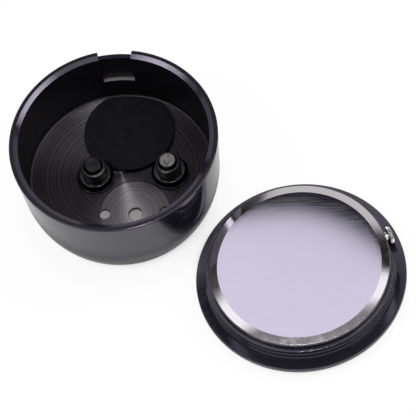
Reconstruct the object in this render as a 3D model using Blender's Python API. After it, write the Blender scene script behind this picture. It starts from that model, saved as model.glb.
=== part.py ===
"""Handlebar clock taken apart: a bowl-shaped housing, and the clock insert lying face down beside it.

The housing stands on its foot with its mouth up and its rim notch at +Y. The insert rests on its bezel,
with its steel back up. Lengths are in millimetres and are scaled to metres as each mesh is made.
"""
import math

import bmesh
import bpy
from mathutils import Matrix, Vector

MM = 0.001

# Driving dimensions: housing
RIM_RADIUS = 28.5
CUP_HEIGHT = 28.0
WALL_FOOT_RADIUS = 27.4
WALL_FOOT_HEIGHT = 13.5
BOWL_RADIUS = 26.5
RIM_WALL = 2.4
FLOOR_WALL = 1.8
FOOT_SETBACK = 7.8
UNDERSIDE_SETBACK = 5.0
RIM_FLAT_WIDTH = 1.2
RIM_CHAMFER_DROP = 0.6
FLOOR_DEPTH = 18.8
FLOOR_THICKNESS = 1.2
FLOOR_FILLET = 0.8
EDGE_BREAK = 0.3
NOTCH_ANGLE = 19.0
NOTCH_DEPTH = 1.9
RECESS_CUT = 1.1
RECESS_DEPTH = 11.4

# Driving dimensions: what stands on the housing's floor, placed from its centre
BOLT_PLACES = {"left": (-7.1, -0.8), "right": (13.4, -0.7)}
BOLT_RADIUS = 2.5
BOLT_STAND_OUT = 1.0
BOLT_HEAD_SHOULDER = 1.75
BOLT_HEAD_HEIGHT = 5.0
BOLT_CHAMFER = 0.4
SOCKET_ACROSS_FLATS = 4.0
SOCKET_DEPTH = 2.5
WASHER_LAND = 0.9
WASHER_SLOPE = 0.8
WASHER_EDGE = 0.9
WASHER_THICKNESS = 2.2
NUT_WALL = 0.9
NUT_HEIGHT = 3.7
NUT_CHAMFER = 0.3
FLOOR_HOLES = ((-4.6, -12.1, 1.5), (3.9, -12.6, 1.85), (12.3, -12.6, 1.85))
SPOT_FACE_CENTRE = (3.7, -11.9)
SPOT_FACE_RADIUS = 9.5
SPOT_FACE_DEPTH = 0.2
PAD_CENTRE = (2.0, 13.2)
PAD_RADIUS = 12.5
PAD_THICKNESS = 0.8

# Driving dimensions: bezel ring, from its front face up to its plug's end
FLANGE_EDGE_Z = 4.1
FLANGE_EDGE_HEIGHT = 0.5
FLANGE_CHAMFER = 0.2
BEZEL_FACE_WIDTH = 1.2
PLUG_GAP = 0.2
PLUG_STEP = 0.2
PLUG_BANDS = 3
PLUG_HEIGHT = 4.65
CASE_WALL = 2.7
CASE_BORE_FLOOR_Z = 3.5
LIP_WIDTH = 2.2
LIP_THICKNESS = 0.6
CRYSTAL_LEDGE = 1.6
GASKET_SEAT_WIDTH = 0.9
GASKET_SEAT_DEPTH = 0.6
CROWN_FLAT_WALL = 1.0

# Driving dimensions: pieces inside the insert
CRYSTAL_GASKET_WIDTH = 0.6
CRYSTAL_THICKNESS = 2.0
CHAPTER_HEIGHT = 1.1
CHAPTER_SLOPE = 1.0
DIAL_THICKNESS = 0.4
DIAL_HOLE_RADIUS = 1.6
INDEX_COUNT = 12
INDEX_HEIGHT = 0.25
INDEX_LENGTH = 3.2
INDEX_WIDTH = 1.1
MOVEMENT_RADIUS = 8.75
MOVEMENT_HEIGHT = 3.2
HOLDER_HEIGHT = 1.8
BATTERY_RADIUS = 3.4
BATTERY_HEIGHT = 1.65
BATTERY_OFFSET = 4.6
CLIP_LENGTH = 9.4
CLIP_WIDTH = 2.2
CLIP_THICKNESS = 0.25
BACK_OVERHANG = 1.3
BACK_HEIGHT = 1.8
BACK_RING_RISE = 0.25
BACK_RING_WIDTH = 2.4
BACK_THICKNESS = 0.8
BACK_LIP_HEIGHT = 1.2
BACK_LIP_WIDTH = 0.7
BACK_GASKET_HEIGHT = 0.3

# Driving dimensions: crown, stem and hands
CROWN_RADIUS = 2.33
CROWN_STANDOFF = 1.5
CROWN_LENGTH = 1.1
CROWN_BORE_DEPTH = 0.6
CROWN_TEETH = 28
TOOTH_DEPTH = 0.2
CROWN_STATIONS = ((0.0, 0.94), (0.12, 1.0), (0.8, 1.0), (1.0, 0.86))
STEM_RADIUS = 0.75
STEM_ENGAGEMENT = 2.75
STEM_GROOVE_GAP = 1.45
STEM_GROOVE_LENGTH = 1.2
STEM_GROOVE_RADIUS = 0.3
TUBE_WALL = 0.25
LEVER_THICKNESS = 0.5
LEVER_WIDTH = 3.6
HAND_THICKNESS = 0.25
HAND_SPACING = 0.6
HOUR_END_GAP = 9.5
MINUTE_END_GAP = 3.5
SECOND_END_GAP = 2.5
SECOND_TAIL = 4.6
HOUR_WIDTHS = (1.0, 2.0)
MINUTE_WIDTHS = (0.8, 1.6)
SECOND_WIDTH = 0.5
BLADE_POINT = 2.0
HUB_MARGIN = 0.7
SECOND_PIN_RADIUS = 0.3
PIPE_WALL = 0.25
HAND_ANGLES = {"hour": 305.0, "minute": 60.0, "second": 210.0}

# Where the two halves lie, and the clearance between neighbours
SEAT_GAP = 0.25
RUNNING_GAP = 0.2
INSERT_FROM_CUP = (48.47, -31.81)
CROWN_DIRECTION = 21.5

# Facets
LARGE_SIDES = 72
MEDIUM_SIDES = 40
SMALL_SIDES = 16
BOWL_STEPS = 6
DOME_STEPS = 5
NOTCH_STEPS = 6
FILLET_STEPS = 2
SHARP_ANGLE = 25.0

# Heights and radii worked out from the driving dimensions
FLOOR_Z = CUP_HEIGHT - FLOOR_DEPTH
FLOOR_UNDER_Z = FLOOR_Z - FLOOR_THICKNESS
BORE_RADIUS = RIM_RADIUS - RIM_WALL
BORE_FLOOR_RADIUS = WALL_FOOT_RADIUS - FLOOR_WALL
FOOT_INNER_RADIUS = WALL_FOOT_RADIUS - FOOT_SETBACK
UNDERSIDE_RADIUS = WALL_FOOT_RADIUS - UNDERSIDE_SETBACK
WASHER_Z = FLOOR_Z + SEAT_GAP
NUT_Z = WASHER_Z + WASHER_THICKNESS + SEAT_GAP
BOLT_HOLE_RADIUS = BOLT_RADIUS + SEAT_GAP
BOLT_HEAD_RADIUS = BOLT_RADIUS + BOLT_HEAD_SHOULDER
NUT_RADIUS = BOLT_RADIUS + NUT_WALL
WASHER_TOP_RADIUS = NUT_RADIUS + WASHER_LAND
WASHER_RADIUS = WASHER_TOP_RADIUS + WASHER_SLOPE
FLANGE_RADIUS = RIM_RADIUS
PLUG_RADIUS = BORE_RADIUS - PLUG_GAP
CASE_BORE_RADIUS = PLUG_RADIUS - CASE_WALL
LIP_RADIUS = CASE_BORE_RADIUS - LIP_WIDTH
CRYSTAL_SEAT_RADIUS = LIP_RADIUS + CRYSTAL_LEDGE
BEZEL_FACE_RADIUS = CRYSTAL_SEAT_RADIUS + BEZEL_FACE_WIDTH
GASKET_SEAT_RADIUS = CASE_BORE_RADIUS + GASKET_SEAT_WIDTH
BACK_RADIUS = CASE_BORE_RADIUS + BACK_OVERHANG
BACK_DISC_RADIUS = BACK_RADIUS - BACK_RING_WIDTH
FLANGE_TOP_Z = FLANGE_EDGE_Z + FLANGE_CHAMFER
PLUG_TOP_Z = FLANGE_TOP_Z + PLUG_HEIGHT
CRYSTAL_TOP_Z = CASE_BORE_FLOOR_Z - LIP_THICKNESS - SEAT_GAP
CHAPTER_Z = CASE_BORE_FLOOR_Z + SEAT_GAP
DIAL_Z = CHAPTER_Z + CHAPTER_HEIGHT + SEAT_GAP
MOVEMENT_Z = DIAL_Z + DIAL_THICKNESS + SEAT_GAP
MOVEMENT_TOP_Z = MOVEMENT_Z + MOVEMENT_HEIGHT
STEM_Z = FLANGE_TOP_Z + SEAT_GAP + CROWN_RADIUS
INNER_RADIUS = CASE_BORE_RADIUS - SEAT_GAP
CROWN_FLAT = CASE_BORE_RADIUS + CROWN_FLAT_WALL
CROWN_INNER_X = CROWN_FLAT + CROWN_STANDOFF
STEM_INNER_X = MOVEMENT_RADIUS - STEM_ENGAGEMENT
STEM_GROOVE_X = MOVEMENT_RADIUS + STEM_GROOVE_GAP
BACK_GASKET_Z = PLUG_TOP_Z - GASKET_SEAT_DEPTH + SEAT_GAP
BACK_Z = PLUG_TOP_Z + SEAT_GAP
TUBE_BORE_RADIUS = STEM_RADIUS + SEAT_GAP
TUBE_RADIUS = TUBE_BORE_RADIUS + TUBE_WALL
TUBE_HOLE_RADIUS = TUBE_RADIUS + SEAT_GAP
MINUTE_PIPE_BORE = SECOND_PIN_RADIUS + RUNNING_GAP
HOUR_PIPE_BORE = MINUTE_PIPE_BORE + PIPE_WALL + RUNNING_GAP
HOUR_PIPE_RADIUS = HOUR_PIPE_BORE + PIPE_WALL
HOUR_LENGTH = LIP_RADIUS - HOUR_END_GAP
MINUTE_LENGTH = LIP_RADIUS - MINUTE_END_GAP
SECOND_LENGTH = LIP_RADIUS - SECOND_END_GAP
HAND_Z = {
    "hour": DIAL_Z - HAND_SPACING - RUNNING_GAP,
    "minute": DIAL_Z - 2 * HAND_SPACING - RUNNING_GAP,
    "second": DIAL_Z - 3 * HAND_SPACING - RUNNING_GAP,
}
CUP_PLACE = (-INSERT_FROM_CUP[0] / 2, -INSERT_FROM_CUP[1] / 2)
INSERT_PLACE = (INSERT_FROM_CUP[0] / 2, INSERT_FROM_CUP[1] / 2)

# Colour, roughness and metallic value of each finish
FINISHES = {
    "black_gloss": ((0.012, 0.012, 0.014), 0.12, 0.6),
    "black_oxide": ((0.03, 0.03, 0.032), 0.35, 0.8),
    "pad_rubber": ((0.008, 0.008, 0.009), 0.95, 0.0),
    "polished_steel": ((0.75, 0.74, 0.76), 0.08, 1.0),
    "nickel": ((0.7, 0.68, 0.66), 0.2, 1.0),
    "brass": ((0.72, 0.55, 0.26), 0.3, 1.0),
    "rubber": ((0.015, 0.015, 0.015), 0.8, 0.0),
    "glass": ((0.85, 0.9, 0.9), 0.03, 0.0),
    "dial_white": ((0.82, 0.82, 0.8), 0.5, 0.0),
    "hand_black": ((0.01, 0.01, 0.01), 0.3, 0.2),
    "holder_plastic": ((0.6, 0.6, 0.58), 0.55, 0.0),
}


def clear_scene():
    for obj in list(bpy.data.objects):
        bpy.data.objects.remove(obj, do_unlink=True)


def add_frame(name, place, turn=0.0, parent=None):
    """An empty that carries the pieces of one half, or the axis of a moving piece."""
    frame = bpy.data.objects.new(name, None)
    bpy.context.collection.objects.link(frame)
    frame.parent = parent
    frame.location = Vector(place) * MM
    frame.rotation_euler = (0.0, 0.0, math.radians(turn))
    return frame


def paint(obj, finish):
    colour, roughness, metallic = FINISHES[finish]
    material = bpy.data.materials.new(obj.name)
    material.use_nodes = True
    shader = material.node_tree.nodes["Principled BSDF"]
    shader.inputs["Base Color"].default_value = (*colour, 1.0)
    shader.inputs["Roughness"].default_value = roughness
    shader.inputs["Metallic"].default_value = metallic
    obj.data.materials.append(material)


def add_object(name, mesh_builder, parent, finish=None):
    """Turn a filled bmesh into an object; without a finish it is a cutter."""
    bmesh.ops.recalc_face_normals(mesh_builder, faces=mesh_builder.faces)
    bmesh.ops.scale(mesh_builder, vec=(MM, MM, MM), verts=mesh_builder.verts)
    mesh = bpy.data.meshes.new(name)
    mesh_builder.to_mesh(mesh)
    mesh_builder.free()
    obj = bpy.data.objects.new(name, mesh)
    bpy.context.collection.objects.link(obj)
    obj.parent = parent
    if finish:
        paint(obj, finish)
        mesh.shade_smooth()
        mesh.set_sharp_from_angle(angle=math.radians(SHARP_ANGLE))
    else:
        obj.hide_render = True
        obj.display_type = "WIRE"
    return obj


def combine(target, tool, operation="DIFFERENCE"):
    modifier = target.modifiers.new(tool.name, "BOOLEAN")
    modifier.object = tool
    modifier.operation = operation
    modifier.solver = "EXACT"


def arc(centre, radius, start, end, steps):
    """Points on a circle in the radius-height plane, angles in degrees."""
    points = []
    for step in range(steps + 1):
        angle = math.radians(start + (end - start) * step / steps)
        points.append((centre[0] + radius * math.cos(angle), centre[1] + radius * math.sin(angle)))
    return points


def spin_profile(builder, profile, sides, centre=(0.0, 0.0)):
    """Turn a closed radius-height outline about the vertical line through centre."""
    rings = []
    for radius, height in profile:
        if radius < 1e-6:
            rings.append([builder.verts.new((centre[0], centre[1], height))])
            continue
        ring = []
        for side in range(sides):
            angle = 2 * math.pi * side / sides
            place = (centre[0] + radius * math.cos(angle), centre[1] + radius * math.sin(angle), height)
            ring.append(builder.verts.new(place))
        rings.append(ring)
    for index, ring in enumerate(rings):
        join_rings(builder, ring, rings[(index + 1) % len(rings)])


def join_rings(builder, first, second):
    count = max(len(first), len(second))
    if count == 1:
        return
    for side in range(count):
        after = (side + 1) % count
        corners = [first[side % len(first)], first[after % len(first)]]
        corners += [second[after % len(second)], second[side % len(second)]]
        builder.faces.new(list(dict.fromkeys(corners)))


def turned(name, profile, sides, parent, finish=None):
    builder = bmesh.new()
    spin_profile(builder, profile, sides)
    return add_object(name, builder, parent, finish)


def tube_profile(inner, outer, bottom, top):
    return [(inner, bottom), (outer, bottom), (outer, top), (inner, top)]


def rod_profile(radius, bottom, top):
    return [(0.0, bottom), (radius, bottom), (radius, top), (0.0, top)]


def add_prism(builder, outline, bottom, top):
    """Extrude a plan outline between two heights."""
    low = [builder.verts.new((x, y, bottom)) for x, y in outline]
    high = [builder.verts.new((x, y, top)) for x, y in outline]
    builder.faces.new(low)
    builder.faces.new(high)
    join_rings(builder, low, high)


def rectangle(x_low, x_high, y_low, y_high):
    return [(x_low, y_low), (x_high, y_low), (x_high, y_high), (x_low, y_high)]


def hexagon(across_flats):
    corner = across_flats / 2 / math.cos(math.radians(30))
    return arc((0.0, 0.0), corner, 0, 300, 5)


def lay_along_x(builder):
    """Turn a mesh that was built along +Z so that it runs along +X."""
    bmesh.ops.rotate(builder, matrix=Matrix.Rotation(math.radians(90), 3, "Y"), verts=builder.verts)


def cup_profile():
    """Section of the housing: tapered wall, bowl, hollow foot, thin floor, and a chamfered mouth."""
    taper = math.atan2(RIM_RADIUS - WALL_FOOT_RADIUS, CUP_HEIGHT - WALL_FOOT_HEIGHT)
    bowl_centre = (
        WALL_FOOT_RADIUS - BOWL_RADIUS * math.cos(taper),
        WALL_FOOT_HEIGHT + BOWL_RADIUS * math.sin(taper),
    )
    bowl_end = math.asin((bowl_centre[1] - EDGE_BREAK) / BOWL_RADIUS)
    bowl = arc(bowl_centre, BOWL_RADIUS, -math.degrees(taper), -math.degrees(bowl_end), BOWL_STEPS)
    fillet_centre = (BORE_FLOOR_RADIUS - FLOOR_FILLET, FLOOR_Z + FLOOR_FILLET)
    profile = [(0.0, FLOOR_Z)]
    profile += arc(fillet_centre, FLOOR_FILLET, -90, 0, FILLET_STEPS)
    profile.append((BORE_RADIUS, CUP_HEIGHT - RIM_CHAMFER_DROP))
    profile.append((RIM_RADIUS - RIM_FLAT_WIDTH, CUP_HEIGHT))
    profile.append((RIM_RADIUS - EDGE_BREAK, CUP_HEIGHT))
    profile.append((RIM_RADIUS, CUP_HEIGHT - EDGE_BREAK))
    profile += bowl
    profile.append((bowl[-1][0] - EDGE_BREAK, 0.0))
    profile.append((FOOT_INNER_RADIUS, 0.0))
    profile.append((UNDERSIDE_RADIUS, FLOOR_UNDER_Z - FLOOR_FILLET))
    profile.append((UNDERSIDE_RADIUS - FLOOR_FILLET, FLOOR_UNDER_Z))
    profile.append((0.0, FLOOR_UNDER_Z))
    return profile


def bore_radius(height):
    """Radius of the housing's tapered bore at a height."""
    top = CUP_HEIGHT - RIM_CHAMFER_DROP
    taper = math.atan2(BORE_RADIUS - BORE_FLOOR_RADIUS, top - FLOOR_Z - FLOOR_FILLET)
    return BORE_RADIUS - (top - height) * math.tan(taper)


def notch_cutter(parent):
    """One sector that opens the rim and runs on down the bore as a shallow recess with a ledge."""
    over = RIM_RADIUS + RIM_WALL
    inside = BORE_FLOOR_RADIUS - FLOOR_FILLET
    notch_z = CUP_HEIGHT - NOTCH_DEPTH
    ledge_z = CUP_HEIGHT - RECESS_DEPTH
    section = [
        (inside, ledge_z),
        (bore_radius(ledge_z) + RECESS_CUT, ledge_z),
        (bore_radius(notch_z) + RECESS_CUT, notch_z),
        (over, notch_z),
        (over, CUP_HEIGHT + NOTCH_DEPTH),
        (inside, CUP_HEIGHT + NOTCH_DEPTH),
    ]
    builder = bmesh.new()
    rings = []
    for step in range(NOTCH_STEPS + 1):
        angle = math.radians(90 + NOTCH_ANGLE * (step / NOTCH_STEPS - 0.5))
        ring = [builder.verts.new((r * math.cos(angle), r * math.sin(angle), z)) for r, z in section]
        rings.append(ring)
    for first, second in zip(rings, rings[1:]):
        join_rings(builder, first, second)
    builder.faces.new(rings[0])
    builder.faces.new(rings[-1])
    return add_object("notch_cutter", builder, parent)


def build_cup(parent):
    """Housing with its notch, the shallow spot face on its floor, and the holes drilled through."""
    cup = turned("housing_cup", cup_profile(), LARGE_SIDES, parent, "black_gloss")
    combine(cup, notch_cutter(parent))
    low = FLOOR_UNDER_Z - FLOOR_THICKNESS
    high = FLOOR_Z + FLOOR_THICKNESS
    builder = bmesh.new()
    spot_face = rod_profile(SPOT_FACE_RADIUS, FLOOR_Z - SPOT_FACE_DEPTH, high)
    spin_profile(builder, spot_face, MEDIUM_SIDES, SPOT_FACE_CENTRE)
    combine(cup, add_object("spot_face_cutter", builder, parent))
    builder = bmesh.new()
    for x, y, radius in FLOOR_HOLES:
        spin_profile(builder, rod_profile(radius, low, high), SMALL_SIDES, (x, y))
    for place in BOLT_PLACES.values():
        spin_profile(builder, rod_profile(BOLT_HOLE_RADIUS, low, high), SMALL_SIDES, place)
    combine(cup, add_object("floor_drill", builder, parent))


def build_pad(parent):
    """Round anti-rattle pad, trimmed where it meets the housing's wall and the washers."""
    builder = bmesh.new()
    bottom = FLOOR_Z + SEAT_GAP
    spin_profile(builder, rod_profile(PAD_RADIUS, bottom, bottom + PAD_THICKNESS), MEDIUM_SIDES, PAD_CENTRE)
    pad = add_object("floor_pad", builder, parent, "pad_rubber")
    limit = BORE_FLOOR_RADIUS - FLOOR_FILLET - SEAT_GAP
    low = FLOOR_UNDER_Z
    high = FLOOR_Z + WASHER_THICKNESS
    combine(pad, turned("pad_trim", rod_profile(limit, low, high), LARGE_SIDES, parent), "INTERSECT")
    builder = bmesh.new()
    for place in BOLT_PLACES.values():
        spin_profile(builder, rod_profile(WASHER_RADIUS + SEAT_GAP, low, high), MEDIUM_SIDES, place)
    combine(pad, add_object("washer_room", builder, parent))


def build_fastener(side, parent):
    """Socket-head bolt from under the floor, with its coned washer and round nut inside the housing."""
    axis = add_frame("bolt_axis_" + side, (*BOLT_PLACES[side], 0.0), parent=parent)
    washer = [
        (BOLT_HOLE_RADIUS, WASHER_Z),
        (WASHER_RADIUS, WASHER_Z),
        (WASHER_RADIUS, WASHER_Z + WASHER_EDGE),
        (WASHER_TOP_RADIUS, WASHER_Z + WASHER_THICKNESS),
        (BOLT_HOLE_RADIUS, WASHER_Z + WASHER_THICKNESS),
    ]
    turned("mount_washer_" + side, washer, MEDIUM_SIDES, axis, "black_oxide")

    nut_top = NUT_Z + NUT_HEIGHT
    nut = [
        (BOLT_HOLE_RADIUS, NUT_Z),
        (NUT_RADIUS, NUT_Z),
        (NUT_RADIUS, nut_top - NUT_CHAMFER),
        (NUT_RADIUS - NUT_CHAMFER, nut_top),
        (BOLT_HOLE_RADIUS, nut_top),
    ]
    turned("mount_nut_" + side, nut, MEDIUM_SIDES, axis, "black_oxide")

    head_top = FLOOR_UNDER_Z - SEAT_GAP
    head_low = head_top - BOLT_HEAD_HEIGHT
    tip = nut_top + BOLT_STAND_OUT
    bolt_profile = [
        (0.0, head_low),
        (BOLT_HEAD_RADIUS - BOLT_CHAMFER, head_low),
        (BOLT_HEAD_RADIUS, head_low + BOLT_CHAMFER),
        (BOLT_HEAD_RADIUS, head_top),
        (BOLT_RADIUS, head_top),
        (BOLT_RADIUS, tip - BOLT_CHAMFER),
        (BOLT_RADIUS - BOLT_CHAMFER, tip),
        (0.0, tip),
    ]
    bolt = turned("mount_bolt_" + side, bolt_profile, MEDIUM_SIDES, axis, "black_oxide")
    builder = bmesh.new()
    add_prism(builder, hexagon(SOCKET_ACROSS_FLATS), head_low - SOCKET_DEPTH, head_low + SOCKET_DEPTH)
    combine(bolt, add_object("socket_cutter_" + side, builder, axis))


def bezel_profile():
    """Section of the bezel ring: domed front, flange, stepped plug, and the seats inside."""
    edge_low = FLANGE_EDGE_Z - FLANGE_EDGE_HEIGHT
    profile = [(CRYSTAL_SEAT_RADIUS, 0.0)]
    dome_width = FLANGE_RADIUS - BEZEL_FACE_RADIUS
    for x, y in arc((0.0, 0.0), 1.0, -90, 0, DOME_STEPS):
        profile.append((BEZEL_FACE_RADIUS + dome_width * x, edge_low + edge_low * y))
    profile.append((FLANGE_RADIUS, FLANGE_EDGE_Z))
    profile.append((FLANGE_RADIUS - FLANGE_CHAMFER, FLANGE_TOP_Z))
    for band in range(PLUG_BANDS):
        radius = PLUG_RADIUS - band * PLUG_STEP
        low = FLANGE_TOP_Z + PLUG_HEIGHT * band / PLUG_BANDS
        high = FLANGE_TOP_Z + PLUG_HEIGHT * (band + 1) / PLUG_BANDS
        profile.append((radius, low + PLUG_STEP if band else low))
        profile.append((radius, high - PLUG_STEP if band == PLUG_BANDS - 1 else high))
    profile.append((PLUG_RADIUS - PLUG_BANDS * PLUG_STEP, PLUG_TOP_Z))
    profile.append((GASKET_SEAT_RADIUS, PLUG_TOP_Z))
    profile.append((GASKET_SEAT_RADIUS, PLUG_TOP_Z - GASKET_SEAT_DEPTH))
    profile.append((CASE_BORE_RADIUS, PLUG_TOP_Z - GASKET_SEAT_DEPTH))
    profile.append((CASE_BORE_RADIUS, CASE_BORE_FLOOR_Z))
    profile.append((LIP_RADIUS, CASE_BORE_FLOOR_Z))
    profile.append((LIP_RADIUS, CASE_BORE_FLOOR_Z - LIP_THICKNESS))
    profile.append((CRYSTAL_SEAT_RADIUS, CASE_BORE_FLOOR_Z - LIP_THICKNESS))
    return profile


def build_bezel(parent, crown_frame):
    """Bezel ring with the flat milled into its plug for the crown, and the stem tube's hole."""
    bezel = turned("bezel_ring", bezel_profile(), LARGE_SIDES, parent, "black_gloss")
    builder = bmesh.new()
    half = FLANGE_RADIUS / 2
    flat_outline = rectangle(CROWN_FLAT, 2 * FLANGE_RADIUS, -half, half)
    add_prism(builder, flat_outline, FLANGE_TOP_Z + EDGE_BREAK / 2, 2 * PLUG_TOP_Z)
    flat = add_object("crown_flat_cutter", builder, crown_frame)
    flat.location.z = -STEM_Z * MM
    combine(bezel, flat)
    builder = bmesh.new()
    spin_profile(builder, rod_profile(TUBE_HOLE_RADIUS, LIP_RADIUS, FLANGE_RADIUS), SMALL_SIDES)
    lay_along_x(builder)
    combine(bezel, add_object("stem_hole_cutter", builder, crown_frame))


def build_glass(parent):
    seat = CRYSTAL_SEAT_RADIUS - SEAT_GAP
    bottom = CRYSTAL_TOP_Z - CRYSTAL_THICKNESS
    gasket = tube_profile(seat - CRYSTAL_GASKET_WIDTH, seat, bottom, CRYSTAL_TOP_Z)
    turned("crystal_gasket", gasket, MEDIUM_SIDES, parent, "rubber")
    radius = seat - CRYSTAL_GASKET_WIDTH - SEAT_GAP
    crystal = [
        (0.0, bottom),
        (radius - EDGE_BREAK, bottom),
        (radius, bottom + EDGE_BREAK),
        (radius, CRYSTAL_TOP_Z),
        (0.0, CRYSTAL_TOP_Z),
    ]
    turned("crystal", crystal, MEDIUM_SIDES, parent, "glass")


def build_dial(parent):
    """Sloped chapter ring, and the dial with raised hour batons on its face."""
    dial_side = LIP_RADIUS - CHAPTER_SLOPE
    top = CHAPTER_Z + CHAPTER_HEIGHT
    ring = [(LIP_RADIUS, CHAPTER_Z), (INNER_RADIUS, CHAPTER_Z), (INNER_RADIUS, top), (dial_side, top)]
    turned("chapter_ring", ring, MEDIUM_SIDES, parent, "hand_black")

    plate = tube_profile(DIAL_HOLE_RADIUS, INNER_RADIUS, DIAL_Z, DIAL_Z + DIAL_THICKNESS)
    dial = turned("dial", plate, MEDIUM_SIDES, parent, "dial_white")
    builder = bmesh.new()
    outer = dial_side - 2 * SEAT_GAP
    for index in range(INDEX_COUNT):
        turn = Matrix.Rotation(2 * math.pi * index / INDEX_COUNT, 3, "Z")
        outline = rectangle(outer - INDEX_LENGTH, outer, -INDEX_WIDTH / 2, INDEX_WIDTH / 2)
        turned_outline = [(turn @ Vector((x, y, 0.0))).xy for x, y in outline]
        add_prism(builder, turned_outline, DIAL_Z - INDEX_HEIGHT, DIAL_Z + DIAL_THICKNESS / 2)
    combine(dial, add_object("hour_batons", builder, parent), "UNION")


def build_movement(parent, crown_frame):
    """Quartz movement with its battery, clip and holder ring."""
    pocket_floor = MOVEMENT_TOP_Z - BATTERY_HEIGHT - SEAT_GAP
    drum = rod_profile(MOVEMENT_RADIUS, MOVEMENT_Z, MOVEMENT_TOP_Z)
    movement = turned("movement", drum, MEDIUM_SIDES, parent, "brass")
    builder = bmesh.new()
    arbor_bore = HOUR_PIPE_RADIUS + SEAT_GAP
    arbor_end = pocket_floor - SEAT_GAP
    spin_profile(builder, rod_profile(arbor_bore, MOVEMENT_Z - DIAL_THICKNESS, arbor_end), SMALL_SIDES)
    combine(movement, add_object("arbor_bore_cutter", builder, parent))
    builder = bmesh.new()
    pocket = rod_profile(BATTERY_RADIUS + SEAT_GAP, pocket_floor, 2 * MOVEMENT_TOP_Z)
    spin_profile(builder, pocket, MEDIUM_SIDES, (-BATTERY_OFFSET, 0.0))
    battery_pocket = add_object("battery_pocket_cutter", builder, crown_frame)
    battery_pocket.location.z = -STEM_Z * MM
    combine(movement, battery_pocket)
    builder = bmesh.new()
    keyway = rod_profile(STEM_RADIUS + SEAT_GAP, STEM_INNER_X - 2 * SEAT_GAP, 2 * MOVEMENT_RADIUS)
    spin_profile(builder, keyway, SMALL_SIDES)
    lay_along_x(builder)
    combine(movement, add_object("keyway_cutter", builder, crown_frame))

    builder = bmesh.new()
    cell_z = pocket_floor + SEAT_GAP
    cell = rod_profile(BATTERY_RADIUS, cell_z, cell_z + BATTERY_HEIGHT)
    spin_profile(builder, cell, MEDIUM_SIDES, (-BATTERY_OFFSET, 0.0))
    battery = add_object("battery", builder, crown_frame, "nickel")
    battery.location.z = -STEM_Z * MM

    builder = bmesh.new()
    clip_z = MOVEMENT_TOP_Z + SEAT_GAP
    clip_outline = rectangle(-BATTERY_OFFSET - BATTERY_RADIUS, CLIP_LENGTH - BATTERY_OFFSET - BATTERY_RADIUS,
                             -CLIP_WIDTH / 2, CLIP_WIDTH / 2)
    add_prism(builder, clip_outline, clip_z, clip_z + CLIP_THICKNESS)
    clip = add_object("battery_clip", builder, crown_frame, "nickel")
    clip.location.z = -STEM_Z * MM

    ring = tube_profile(MOVEMENT_RADIUS + SEAT_GAP, INNER_RADIUS, MOVEMENT_Z, MOVEMENT_Z + HOLDER_HEIGHT)
    holder = turned("movement_holder", ring, MEDIUM_SIDES, parent, "holder_plastic")
    builder = bmesh.new()
    channel = LEVER_WIDTH / 2 + SEAT_GAP
    add_prism(builder, rectangle(MOVEMENT_RADIUS / 2, 2 * INNER_RADIUS, -channel, channel), -STEM_Z, STEM_Z)
    combine(holder, add_object("stem_channel_cutter", builder, crown_frame))


def build_back(parent):
    """Snap-on steel back: flat disc, sloped polished ring, and the lip that presses the holder."""
    gasket_outer = GASKET_SEAT_RADIUS - SEAT_GAP
    gasket_inner = CASE_BORE_RADIUS + SEAT_GAP
    gasket = tube_profile(gasket_inner, gasket_outer, BACK_GASKET_Z, BACK_GASKET_Z + BACK_GASKET_HEIGHT)
    turned("case_back_gasket", gasket, MEDIUM_SIDES, parent, "rubber")

    ring_top = BACK_Z + BACK_HEIGHT - BACK_RING_RISE
    disc_top = BACK_Z + BACK_HEIGHT
    lip_outer = INNER_RADIUS
    lip_inner = lip_outer - BACK_LIP_WIDTH
    ceiling = disc_top - BACK_THICKNESS
    profile = [
        (0.0, disc_top),
        (BACK_DISC_RADIUS, disc_top),
        (BACK_RADIUS - EDGE_BREAK, ring_top),
        (BACK_RADIUS, ring_top - EDGE_BREAK),
        (BACK_RADIUS, BACK_Z),
        (lip_outer, BACK_Z),
        (lip_outer, BACK_Z - BACK_LIP_HEIGHT),
        (lip_inner, BACK_Z - BACK_LIP_HEIGHT),
        (lip_inner, ceiling),
        (0.0, ceiling),
    ]
    turned("case_back", profile, LARGE_SIDES, parent, "polished_steel")


def knurled_rings(builder):
    """Crown head: a toothed section carried along the stem's axis, drawn in at both ends."""
    rings = []
    for along, scale in CROWN_STATIONS:
        ring = []
        for step in range(2 * CROWN_TEETH):
            angle = math.pi * step / CROWN_TEETH
            radius = scale * (CROWN_RADIUS - (TOOTH_DEPTH if step % 2 else 0.0))
            height = CROWN_INNER_X + along * CROWN_LENGTH
            ring.append(builder.verts.new((radius * math.cos(angle), radius * math.sin(angle), height)))
        rings.append(ring)
    for first, second in zip(rings, rings[1:]):
        join_rings(builder, first, second)
    builder.faces.new(rings[0])
    builder.faces.new(rings[-1])


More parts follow.
